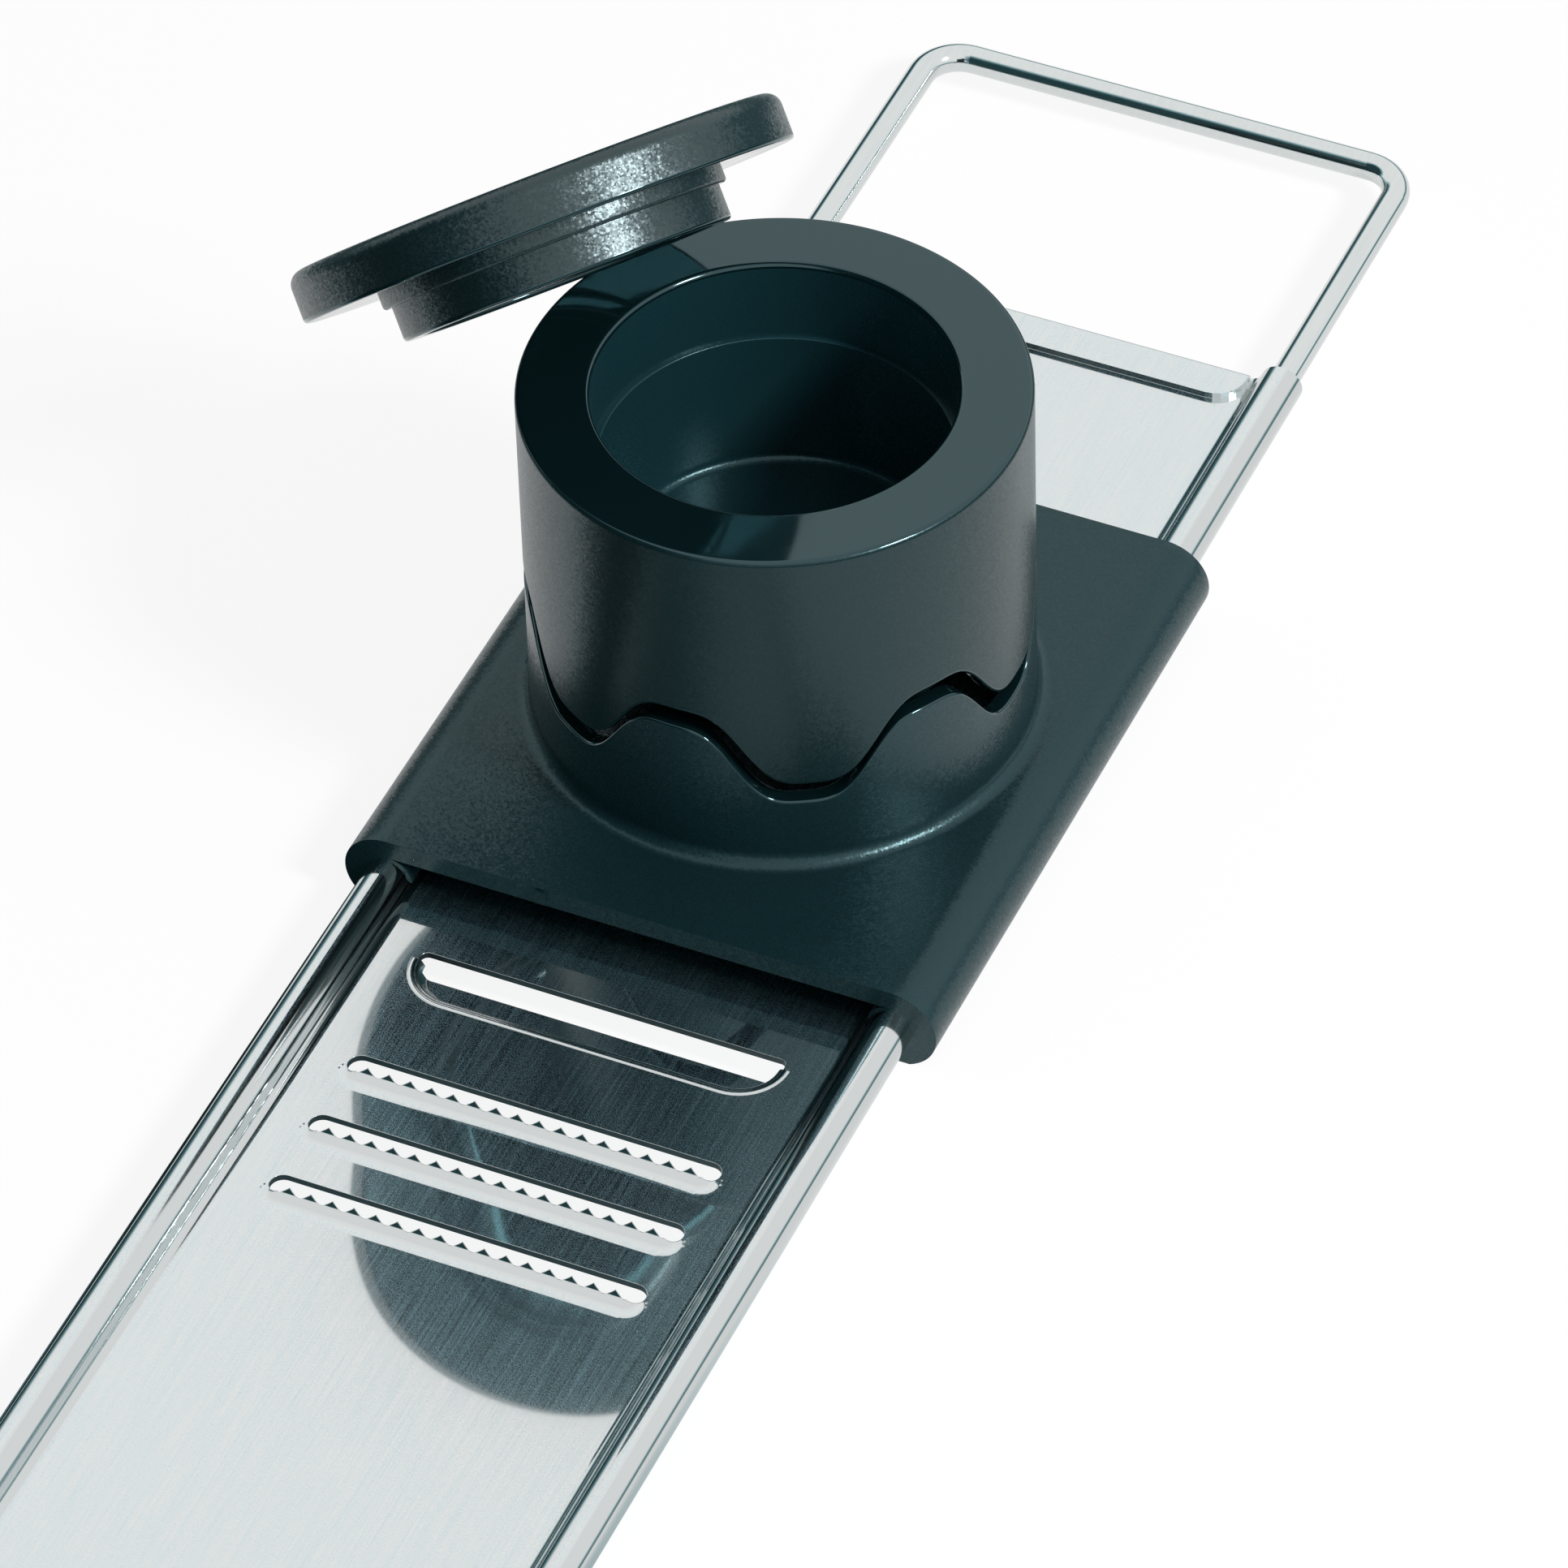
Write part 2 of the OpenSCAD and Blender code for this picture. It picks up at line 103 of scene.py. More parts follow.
# Stainless sheet, bright rolled and lightly brushed along its length.
# It is a near mirror, and its fine hairlines scatter a little light, so dark reflections look blue-grey.
sheetLook = {
    "colour": "#E4E4E1",
    "hairColour": "#A2D0E2",
    "rolledShadeColour": "#CFD3D3",      # of the rolled rails and other bends, darker: painted shade for their dimmer reflections
    "roughness": (0.035, 0.42),     # of the mirror and of the hairlines
    "rolledRoughness": 0.1,
    "flatFrom": (0.95, 0.99),       # upward part of the normal, from the bends to the flat
    "hairline": (0.012, 0.09),      # width and length in mm of their bits, too fine to show one by one
    "hairBand": (0.16, 9.0),        # width and length in mm of the streaks in which hairlines crowd
    "bandSwing": 0.22,              # how much denser the hairlines are there
    "hairShare": (0.56, 0.68),      # noise values where a hairline starts and where it is full
    "speck": 3.2,                   # mm from one small dent to the next
    "speckSize": 0.09,              # mm
    "edgeRound": 0.09,              # mm
    "edgeSamples": 6,
    "cutShadeColour": "#565E60",         # sheared faces of the slots are dull, and darker: painted shade of the shadowed floor they reflect
    "cutFrom": (0.3, 0.15),         # upward part of the normal, from the lips to the sheared faces
    "cutZone": (17.0, -66.0, -33.0),        # mm, half the width and both ends of the slotted part
    "dish": 0.75,                   # mm that punching the slots has drawn the sheet down
    "dishZone": (-55.0, -85.0),     # mm, where the dish starts and where it is flat again
}


# Hairlines that crowd in streaks along the sheet
def sheetHairlines(tree, look):
    hair = addNode(tree, "ShaderNodeTexNoise", {"Scale": 1.0, "Detail": 0.0},
                   {"Vector": patternSpace(tree, *look["hairline"])})
    band = addNode(tree, "ShaderNodeTexNoise", {"Scale": 1.0, "Detail": 2.0, "Distortion": 1.0},
                   {"Vector": patternSpace(tree, *look["hairBand"])})
    swing = look["bandSwing"] / 2
    crowd = addNode(tree, "ShaderNodeMapRange", {"To Min": -swing, "To Max": swing},
                    {"Value": band.outputs["Fac"]})
    dense = addNode(tree, "ShaderNodeMath", links={0: hair.outputs["Fac"], 1: crowd.outputs[0]},
                    operation="ADD")
    start, full = look["hairShare"]
    lines = addNode(tree, "ShaderNodeMapRange", {"From Min": start, "From Max": full},
                    {"Value": dense.outputs[0]})
    return lines.outputs[0]


# Small dents scattered over the sheet
def sheetSpecks(tree, look):
    cells = addNode(tree, "ShaderNodeTexVoronoi", {"Scale": 1.0},
                    {"Vector": patternSpace(tree, look["speck"], look["speck"])})
    specks = addNode(tree, "ShaderNodeMapRange",
                     {"From Min": look["speckSize"] / look["speck"], "From Max": 0.0},
                     {"Value": cells.outputs["Distance"]})
    return specks.outputs[0]


# Three values: 1 on the flat, 1 between the rails, and 1 on the sheared faces in the slotted part
def sheetZones(tree, look, normal, place):
    facing = addNode(tree, "ShaderNodeSeparateXYZ", links={0: normal})
    upright = addNode(tree, "ShaderNodeMath", links={0: facing.outputs["Z"]}, operation="ABSOLUTE")
    flat, sheared = [addNode(tree, "ShaderNodeMapRange", {"From Min": start, "From Max": full},
                             {"Value": upright.outputs[0]})
                     for start, full in (look["flatFrom"], look["cutFrom"])]
    halfWidth, near, far = (size * mm for size in look["cutZone"])
    across = addNode(tree, "ShaderNodeMath", links={0: place.outputs["X"]}, operation="ABSOLUTE")
    limits = [(across.outputs[0], halfWidth, "LESS_THAN"), (place.outputs["Y"], near, "GREATER_THAN"),
              (place.outputs["Y"], far, "LESS_THAN")]
    zones = [addNode(tree, "ShaderNodeMath", {1: limit}, {0: source}, operation=test)
             for source, limit, test in limits]
    for zone in zones:
        sheared = addNode(tree, "ShaderNodeMath", links={0: sheared.outputs[0], 1: zone.outputs[0]},
                          operation="MULTIPLY")
    return flat.outputs[0], zones[0].outputs[0], sheared.outputs[0]


# Normal with rounded edges between the rails, and with the slight dish of the punched part
def sheetNormal(tree, look, normal, place, betweenRails):
    edge = addNode(tree, "ShaderNodeBevel", {"Radius": look["edgeRound"] * mm}, samples=look["edgeSamples"])
    edge = addNode(tree, "ShaderNodeMix", links={0: betweenRails, "A": normal, "B": edge.outputs[0]},
                   data_type="VECTOR")
    start, end = (size * mm for size in look["dishZone"])
    rise = addNode(tree, "ShaderNodeMapRange", {"From Min": start, "From Max": end},
                   {"Value": place.outputs["Y"]}, interpolation_type="SMOOTHSTEP")
    dish = addNode(tree, "ShaderNodeBump", {"Strength": 1.0, "Distance": look["dish"] * mm},
                   {"Height": rise.outputs[0], "Normal": edge.outputs["Result"]})
    return dish.outputs[0]


def brushedStainless(look):
    material, tree = newMaterial("brushed_stainless_sheet")
    normal = addNode(tree, "ShaderNodeNewGeometry").outputs["Normal"]
    place = addNode(tree, "ShaderNodeTexCoord")
    place = addNode(tree, "ShaderNodeSeparateXYZ", links={0: place.outputs["Object"]})
    flat, betweenRails, sheared = sheetZones(tree, look, normal, place)

    # only the flat of the sheet is brushed
    lines = addNode(tree, "ShaderNodeMath", links={0: sheetHairlines(tree, look), 1: flat},
                    operation="MULTIPLY")
    marks = addNode(tree, "ShaderNodeMath", links={0: lines.outputs[0], 1: sheetSpecks(tree, look)},
                    operation="MAXIMUM")
    colour = addNode(tree, "ShaderNodeMix",
                     {"A": hexColour(look["colour"]), "B": hexColour(look["hairColour"])},
                     {0: marks.outputs[0]}, data_type="RGBA")
    # rails and other bends take a darker colour: painted shade, as their reflections are dimmer
    colour = addNode(tree, "ShaderNodeMix", {"A": hexColour(look["rolledShadeColour"])},
                     {0: flat, "B": colour.outputs["Result"]}, data_type="RGBA")
    # sheared faces take a dull dark colour: partly their own dullness, partly painted shade of the shadowed
    # floor below the plate that they reflect
    colour = addNode(tree, "ShaderNodeMix", {"B": hexColour(look["cutShadeColour"])},
                     {0: sheared, "A": colour.outputs["Result"]}, data_type="RGBA")
    dull = addNode(tree, "ShaderNodeMath", links={0: marks.outputs[0], 1: sheared}, operation="MAXIMUM")
    mirror, scattered = look["roughness"]
    bright = addNode(tree, "ShaderNodeMapRange", {"To Min": look["rolledRoughness"], "To Max": mirror},
                     {"Value": flat})
    rough = addNode(tree, "ShaderNodeMapRange", {"To Max": scattered},
                    {"Value": dull.outputs[0], "To Min": bright.outputs[0]})
    shader = addNode(tree, "ShaderNodeBsdfPrincipled", {"Metallic": 1.0},
                     {"Base Color": colour.outputs["Result"], "Roughness": rough.outputs[0],
                      "Normal": sheetNormal(tree, look, normal, place, betweenRails)})
    addNode(tree, "ShaderNodeOutputMaterial", links={"Surface": shader.outputs[0]})
    return material


# Stainless wire, drawn and polished: a bright mirror with faint draw lines along it
wireLook = {
    "colour": "#DDE1E0",
    "dullColour": "#D0D6D6",
    "roughness": (0.07, 0.13),
    "drawLine": (0.35, 9.0),        # width and length in mm, drawn coarser than real ones
    "lineRange": (0.35, 0.7),       # noise values between which a line shows
    "lineDepth": 0.0006,            # mm
}


def polishedWire(look):
    material, tree = newMaterial("polished_stainless_wire")
    lines = addNode(tree, "ShaderNodeTexNoise", {"Scale": 1.0, "Detail": 2.0},
                    {"Vector": patternSpace(tree, *look["drawLine"])})
    colour = addNode(tree, "ShaderNodeMix",
                     {"A": hexColour(look["colour"]), "B": hexColour(look["dullColour"])},
                     {0: lines.outputs["Fac"]}, data_type="RGBA")
    rough = addNode(tree, "ShaderNodeMapRange",
                    {"From Min": look["lineRange"][0], "From Max": look["lineRange"][1],
                     "To Min": look["roughness"][0], "To Max": look["roughness"][1]},
                    {"Value": lines.outputs["Fac"]})
    bump = addNode(tree, "ShaderNodeBump", {"Strength": 1.0, "Distance": look["lineDepth"] * mm},
                   {"Height": lines.outputs["Fac"]})
    shader = addNode(tree, "ShaderNodeBsdfPrincipled", {"Metallic": 1.0},
                     {"Base Color": colour.outputs["Result"], "Roughness": rough.outputs[0],
                      "Normal": bump.outputs[0]})
    addNode(tree, "ShaderNodeOutputMaterial", links={"Surface": shader.outputs[0]})
    return material


# Black ABS moulded against a spark-eroded cavity: small facets that glint one by one in the lamp's light.
# The grain is in mm, a little coarser than real grain so that it shows, and the tilt is the lean of a facet.
# The IOR starts from 1.54 and is matched to each piece's shine.
grainLooks = {
    "sled": {"colour": "#0F272B", "shineTint": "#C8F7FF", "roughness": (0.24, 0.34),
             "grain": 0.18, "tilt": 0.1, "ior": 1.54},
    "cup": {"colour": "#091E21", "shineTint": "#C8F7FF", "roughness": (0.26, 0.34),
            "grain": 0.16, "tilt": 0.08, "ior": 1.56},
    # the bore is a lighter copy of the cup's black ABS: painted light in the recess
    "bore": {"colour": "#17383E", "shineTint": "#C8F7FF", "roughness": (0.2, 0.3),
             "grain": 0.14, "tilt": 0.06, "ior": 1.5},
    "lid": {"colour": "#091E21", "shineTint": "#E4FBFF", "roughness": (0.28, 0.36),
            "grain": 0.16, "tilt": 0.17, "ior": 1.72},
    # the lid's hollow is a darker copy of the lid's black ABS: painted shade in the recess
    "hollow": {"colour": "#061719", "shineTint": "#E4FBFF", "roughness": (0.45, 0.55),
               "grain": 0.18, "tilt": 0.06, "ior": 1.46},
}


def grainedAbs(name, look):
    material, tree = newMaterial("grained_black_abs_" + name)
    facets = addNode(tree, "ShaderNodeTexVoronoi", {"Scale": 1.0},
                     {"Vector": patternSpace(tree, look["grain"], look["grain"])})
    # each facet's own random colour, from 0 to 1, is its lean to either side
    lean = addNode(tree, "ShaderNodeVectorMath", {1: (0.5, 0.5, 0.5)}, {0: facets.outputs["Color"]},
                   operation="SUBTRACT")
    lean = addNode(tree, "ShaderNodeVectorMath", {"Scale": look["tilt"]}, {0: lean.outputs[0]},
                   operation="SCALE")
    facing = addNode(tree, "ShaderNodeNewGeometry")
    leaning = addNode(tree, "ShaderNodeVectorMath", links={0: facing.outputs["Normal"], 1: lean.outputs[0]},
                      operation="ADD")
    leaning = addNode(tree, "ShaderNodeVectorMath", links={0: leaning.outputs[0]}, operation="NORMALIZE")
    rough = addNode(tree, "ShaderNodeMapRange",
                    {"To Min": look["roughness"][0], "To Max": look["roughness"][1]},
                    {"Value": facets.outputs["Distance"]})
    shader = addNode(tree, "ShaderNodeBsdfPrincipled",
                     {"Base Color": hexColour(look["colour"]), "IOR": look["ior"],
                      "Specular Tint": hexColour(look["shineTint"])},
                     {"Roughness": rough.outputs[0], "Normal": leaning.outputs[0]})
    addNode(tree, "ShaderNodeOutputMaterial", links={"Surface": shader.outputs[0]})
    return material


# Black ABS moulded against a polished cavity: a near mirror with slight waviness
polishLook = {
    "colour": "#091C1F",
    "shineTint": "#C8F7FF",
    "roughness": (0.05, 0.11),
    "ripple": 3.5,                  # mm
    "rippleRange": (0.3, 0.7),      # noise values from the smoothest to the dullest
    "rippleDepth": 0.006,           # mm
    "ior": 1.76,
}


def polishedAbs(look):
    material, tree = newMaterial("polished_black_abs")
    ripple = addNode(tree, "ShaderNodeTexNoise", {"Scale": 1.0, "Detail": 3.0},
                     {"Vector": patternSpace(tree, look["ripple"], look["ripple"])})
    rough = addNode(tree, "ShaderNodeMapRange",
                    {"From Min": look["rippleRange"][0], "From Max": look["rippleRange"][1],
                     "To Min": look["roughness"][0], "To Max": look["roughness"][1]},
                    {"Value": ripple.outputs["Fac"]})
    bump = addNode(tree, "ShaderNodeBump", {"Strength": 1.0, "Distance": look["rippleDepth"] * mm},
                   {"Height": ripple.outputs["Fac"]})
    shader = addNode(tree, "ShaderNodeBsdfPrincipled",
                     {"Base Color": hexColour(look["colour"]), "IOR": look["ior"],
                      "Specular Tint": hexColour(look["shineTint"])},
                     {"Roughness": rough.outputs[0], "Normal": bump.outputs[0]})
    addNode(tree, "ShaderNodeOutputMaterial", links={"Surface": shader.outputs[0]})
    return material


polishedPlastic = polishedAbs(polishLook)
grainedPlastic = {name: grainedAbs(name, look) for name, look in grainLooks.items()}
grainFinish, polishFinish, innerFinish = range(3)        # places in a piece's list of materials
print("materials made:", len(grainedPlastic) + 1, "plastics")


# Points on an arc round (r, z), in mm and degrees
def arc(r, z, radius, start, end, steps=roundSteps):
    angles = [math.radians(start + (end - start) * i / steps) for i in range(steps + 1)]
    return [(r + radius * math.cos(a), z + radius * math.sin(a)) for a in angles]


# Faces between two neighbouring rings, either of which may be one vertex on the axis
def joinRings(mesh, first, second, finish=grainFinish):
    if len(first) == 1 and len(second) == 1:
        return
    for i in range(turnSteps):
        j = (i + 1) % turnSteps
        if len(first) == 1:
            corners = (first[0], second[j], second[i])
        elif len(second) == 1:
            corners = (first[i], first[j], second[0])
        else:
            corners = (first[i], first[j], second[j], second[i])
        mesh.faces.new(corners).material_index = finish


# Turns a profile round the z axis. It is given in runs, each a finish and its points.
# A point is a radius and a height in mm, which may follow the angle, and its faces go on to the next point.
def turnProfile(mesh, runsAt, closed=False):
    angles = [2 * math.pi * i / turnSteps for i in range(turnSteps)]
    profiles = [[point for finish, points in runsAt(a) for point in points] for a in angles]
    finishes = [finish for finish, points in runsAt(0) for point in points]
    rings = []
    for k, (radius, height) in enumerate(profiles[0]):
        places = [(0, 0, height)]
        if radius > 0:
            places = [(p[k][0] * math.cos(a), p[k][0] * math.sin(a), p[k][1])
                      for a, p in zip(angles, profiles)]
        rings.append([mesh.verts.new([size * mm for size in place]) for place in places])
    following = rings[1:] + (rings[:1] if closed else [])
    for first, second, finish in zip(rings, following, finishes):
        joinRings(mesh, first, second, finish)
    return rings


# Turns a bmesh into a smooth object with the given materials
def finishPiece(name, mesh, materials):
    bmesh.ops.recalc_face_normals(mesh, faces=mesh.faces)
    data = bpy.data.meshes.new(name)
    mesh.to_mesh(data)
    mesh.free()
    for material in materials:
        data.materials.append(material)
    data.shade_smooth()
    data.set_sharp_from_angle(angle=smoothAngle)
    piece = bpy.data.objects.new(name, data)
    bpy.context.scene.collection.objects.link(piece)
    weighted = piece.modifiers.new("evenShading", "WEIGHTED_NORMAL")
    weighted.keep_sharp = True
    return piece


# Waves shared by the collar and the cup, in mm and degrees
waves = {
    "count": 6,
    "low": 10.7,
    "height": 6.65,
    "flatness": 0.115,
    "collarTurn": -1.0,
    "cupTurn": 1.8,
    "gap": 1.6,
}


# Height of the collar's wavy edge at an angle from the bottom of a wave
def waveHeight(angle):
    n = waves["count"]
    swing = waves["flatness"] * math.cos(3 * n * angle) - math.cos(n * angle)
    return waves["low"] + waves["height"] / 2 * (1 + swing / (1 - waves["flatness"]))


# Cup: a round holder with a polished rim, a grained bore and a wavy skirt, in mm
cupSize = {
    "skirtWall": 1.4,
    "boreRadius": 14.25,
    "boreDepth": 20.0,
    "ringDepth": 7.4,
    "ringWidth": 0.35,
    "floor": 1.8,
    "boreWall": 1.7,
    "top": 2.2,
    "rimRound": 0.45,
    "ringRound": 0.12,
    "floorFillet": 0.8,
    "edgeRound": 0.5,
    "innerRound": 0.2,
}


def makeCup(size):
    low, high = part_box("cup")
    radius = (high.x - low.x) / 2 / mm
    rim = high.z / mm
    inside = radius - size["skirtWall"]
    bore = size["boreRadius"]
    narrow = bore - size["ringWidth"]
    ringTop = rim - size["ringDepth"]
    floorTop = rim - size["boreDepth"]
    floorUnder = floorTop - size["floor"]
    core = bore + size["boreWall"]
    topUnder = rim - size["top"]
    rimRound, ringRound, fillet = size["rimRound"], size["ringRound"], size["floorFillet"]
    edgeRound, innerRound = size["edgeRound"], size["innerRound"]
    turn = math.radians(waves["collarTurn"] + waves["cupTurn"])
    half = roundSteps // 2          # the polish starts in the middle of the rim's outer edge

    def runs(angle):
        edge = waveHeight(angle - turn) + waves["gap"]
        skirt = arc(inside + innerRound, edge + innerRound, innerRound, 180, 270, steps=4)
        skirt += arc(radius - edgeRound, edge + edgeRound, edgeRound, 270, 360)
        outerRim = arc(radius - rimRound, rim - rimRound, rimRound, 0, 90)
        innerRim = arc(bore + rimRound, rim - rimRound, rimRound, 90, 180)
        well = [(bore, ringTop)]
        well += arc(narrow + ringRound, ringTop - ringRound, ringRound, 90, 180, steps=3)
        well += arc(narrow - fillet, floorTop + fillet, fillet, 360, 270)
        well += [(0, floorTop)]
        under = [(0, floorUnder), (core, floorUnder), (core, topUnder), (inside, topUnder)]
        return [(polishFinish, skirt[:-1]),
                (grainFinish, skirt[-1:] + outerRim[:half]),
                (polishFinish, outerRim[half:] + innerRim[:-1]),
                # the bore and its floor take the lighter bore colour: painted light in the recess
                (innerFinish, innerRim[-1:] + well),
                (grainFinish, under)]

    mesh = bmesh.new()
    turnProfile(mesh, runs, closed=True)
    piece = finishPiece("spice_cup", mesh,
                        [grainedPlastic["cup"], polishedPlastic, grainedPlastic["bore"]])
    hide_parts("cup")
    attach(piece, "holder")
    return piece


# Lid: a disc with a step and a hollow plug below it, in mm
lidSize = {
    "thick": 4.0,
    "topRound": 1.2,
    "underRound": 0.3,
    "stepRadius": 14.0,
    "stepHeight": 1.2,
    "plugRadius": 13.35,
    "plugHeight": 2.8,
    "plugWall": 1.6,
    "plugRound": 0.3,
    "rootFillet": 0.3,
}


# Place and radius of the lid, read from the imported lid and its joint
def lidPlace(size):
    joint = next(j for j in frame["record"]["behaviour"]["joints"] if j["name"] == "lid_lift")
    axis = Vector(joint["axis"]).normalized()
    sideways = axis.cross(Vector((0, 0, 1))).normalized()
    uphill = sideways.cross(axis)
    points = [v.co for v in frame["nodes"]["lid"].data.vertices]
    spans = [[p.dot(way) for p in points] for way in (sideways, uphill, axis)]
    middle = [(min(s) + max(s)) / 2 for s in spans[:2]]
    under = max(spans[2]) - size["thick"] * mm
    centre = sideways * middle[0] + uphill * middle[1] + axis * under
    turned = Matrix((sideways, uphill, axis)).transposed().to_4x4()
    radius = (max(spans[0]) - min(spans[0])) / 2 / mm
    return Matrix.Translation(centre) @ turned, radius


def makeLid(size):
    place, radius = lidPlace(size)
    step, plug, thick = size["stepRadius"], size["plugRadius"], size["thick"]
    hollow = plug - size["plugWall"]
    stepUnder = -size["stepHeight"]
    foot = stepUnder - size["plugHeight"]
    soft, root = size["plugRound"], size["rootFillet"]
    underRound, topRound = size["underRound"], size["topRound"]

    # the foot of the plug, the step and the underside are polished, the hollow is matt and darker with
    # painted shade, the rest is grained
    def runs(angle):
        footEdge = arc(hollow + soft, foot + soft, soft, 180, 270, steps=4)
        footEdge += arc(plug - soft, foot + soft, soft, 270, 360, steps=4)
        lowEdge = arc(radius - underRound, underRound, underRound, 270, 360, steps=4)
        topEdge = arc(radius - topRound, thick - topRound, topRound, 0, 90, steps=10)
        return [(innerFinish, [(0, 0)] + arc(hollow - root, -root, root, 90, 0, steps=3)),
                (polishFinish, footEdge[:-1]),
                (grainFinish, footEdge[-1:]),
                (polishFinish, [(plug, stepUnder)]),
                (grainFinish, arc(step - root, stepUnder + root, root, 270, 360, steps=3)),
                (polishFinish, [(step, 0)] + lowEdge[:-1]),
                (grainFinish, lowEdge[-1:] + topEdge + [(0, thick)])]

    mesh = bmesh.new()
    turnProfile(mesh, runs)
    piece = finishPiece("spice_lid", mesh,
                        [grainedPlastic["lid"], polishedPlastic, grainedPlastic["hollow"]])
    piece.data.transform(place)
    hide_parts("lid")
    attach(piece, "cover")
    return piece


# Sled: a flat roof with a hook round each rail, and a collar with a wavy edge, in mm
sledSize = {
    "roofTop": 4.05,
    "wall": 1.75,
    "railX": 21.4,
    "railZ": 0.3,
    "hookInner": 2.0,
    "hookReach": 0.4,
    "tipRound": 0.2,
    "endRound": 0.25,
    "collarRadius": 20.0,
    "collarWall": 1.4,
    "collarFillet": 1.2,
    "edgeRound": 0.22,
    "gateX": -8.2,
    "gateWidth": 0.8,
    "gateOut": 0.25,
}


# Section of the right hook, from the roof's top round the rail to the roof's underside
def hookSection(size, bottom):
    x, z = size["railX"], size["railZ"]
    inner = size["hookInner"]
    outer = inner + size["wall"]
    tip, soft = x - size["hookReach"], size["tipRound"]
    flatFrom = math.degrees(math.asin((bottom - z) / outer))
    tipTop = math.degrees(math.asin(size["hookReach"] / inner))
    points = arc(x, z, outer, 90, flatFrom, steps=24)
    points += arc(tip + soft, bottom + soft, soft, 270, 180, steps=4)
    points += arc(x, z, inner, 270 - tipTop, 90, steps=28)[1:]
    return points


# Points on the roof's outline, one for each step of the collar, with the four corners exact
def roofOutline(halfWidth, front, back):
    corners = [(halfWidth, back), (-halfWidth, back), (-halfWidth, front), (halfWidth, front)]
    outline = []
    for i in range(turnSteps):
        a = 2 * math.pi * i / turnSteps
        across, along = math.cos(a), math.sin(a)
        reachX = halfWidth / abs(across) if abs(across) > tiny else math.inf
        reachY = (back if along > 0 else front) / along if abs(along) > tiny else math.inf
        reach = min(reachX, reachY)
        outline.append((reach * across, reach * along))
    for corner in corners:
        nearest = min(range(turnSteps), key=lambda i: math.dist(outline[i], corner))
        outline[nearest] = corner
    return outline


# Hooks along both sides, row by row from the front to the back
def addHooks(mesh, size, bottom, outline, above, below):
    section = hookSection(size, bottom)
    for side in (1, -1):
        edge = [i for i in range(turnSteps) if abs(outline[i][0] - side * size["railX"]) < tiny]
        edge.sort(key=lambda i: outline[i][1])
        rows = []
        for i in edge:
            middle = [mesh.verts.new((side * x * mm, outline[i][1] * mm, z * mm)) for x, z in section[1:-1]]
            rows.append([above[i]] + middle + [below[i]])
        for first, second in zip(rows, rows[1:]):
            for k in range(len(section) - 1):
                mesh.faces.new((first[k], second[k], second[k + 1], first[k + 1]))


# Closes each end by one face and rounds its edges
def closeEnds(mesh, size, front, back):
    ends = []
    for y in (front, back):
        rim = [e for e in mesh.edges
               if e.is_boundary and all(abs(v.co.y / mm - y) < tiny for v in e.verts)]
        ends += bmesh.ops.edgeloop_fill(mesh, edges=rim)["faces"]
    bmesh.ops.recalc_face_normals(mesh, faces=mesh.faces)
    endEdges = [e for face in ends for e in face.edges]
    bmesh.ops.bevel(mesh, geom=endEdges, offset=size["endRound"] * mm, offset_type="OFFSET", segments=3,
                    profile=0.5, affect="EDGES", clamp_overlap=True)


# Trace of the moulding gate on the front edge
def addGate(mesh, size, front):
    gate = bmesh.ops.create_cube(mesh, size=mm)["verts"]
    gateScale = Vector((size["gateWidth"], 2 * size["gateOut"], size["wall"] - 2 * size["endRound"]))
    gatePlace = Vector((size["gateX"], front, size["roofTop"] - size["wall"] / 2)) * mm
    bmesh.ops.scale(mesh, vec=gateScale, verts=gate)
    bmesh.ops.translate(mesh, vec=gatePlace, verts=gate)


def makeSled(size):
    low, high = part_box("sled")
    front = low.y / mm + size["gateOut"]
    back = high.y / mm
    bottom = low.z / mm
    roofTop = size["roofTop"]
    roofUnder = roofTop - size["wall"]
    radius = size["collarRadius"]
    inside = radius - size["collarWall"]
    fillet, soft = size["collarFillet"], size["edgeRound"]
    turn = math.radians(waves["collarTurn"])

    # the collar's edge and its inside are polished
    def collarRuns(angle):
        edge = waveHeight(angle - turn)
        collarEdge = arc(radius - soft, edge - soft, soft, 0, 90, steps=4)
        collarEdge += arc(inside + soft, edge - soft, soft, 90, 180, steps=4)
        return [(grainFinish, arc(radius + fillet, roofTop + fillet, fillet, 270, 180, steps=8)),
                (polishFinish, collarEdge + [(inside, roofUnder)])]

    mesh = bmesh.new()
    rings = turnProfile(mesh, collarRuns)

    # roof above and below, from the collar out to a straight outline
    outline = roofOutline(size["railX"], front, back)
    above = [mesh.verts.new((x * mm, y * mm, roofTop * mm)) for x, y in outline]
    below = [mesh.verts.new((x * mm, y * mm, roofUnder * mm)) for x, y in outline]
    joinRings(mesh, above, rings[0])
    joinRings(mesh, rings[-1], below)
    addHooks(mesh, size, bottom, outline, above, below)
    closeEnds(mesh, size, front, back)
    addGate(mesh, size, front)
    piece = finishPiece("sliding_guard", mesh, [grainedPlastic["sled"], polishedPlastic])
    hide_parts("sled")
    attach(piece, "guard")
    return piece


for piece in (makeCup(cupSize), makeLid(lidSize), makeSled(sledSize)):
    print("piece made:", piece.name, len(piece.data.polygons), "faces")


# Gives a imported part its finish
def dressNode(node, material):
    slots = frame["nodes"][node].data.materials
    for i in range(len(slots)):
        slots[i] = material


dressNode("grater_plate", brushedStainless(sheetLook))
dressNode("handle_wire", polishedWire(wireLook))
print("steel dressed")


# Unit vector to a point at this azimuth and elevation, in degrees
def direction(azimuth, elevation):
    a, e = math.radians(azimuth), math.radians(elevation)
    return Vector((math.sin(a) * math.cos(e), -math.cos(a) * math.cos(e), math.sin(e)))


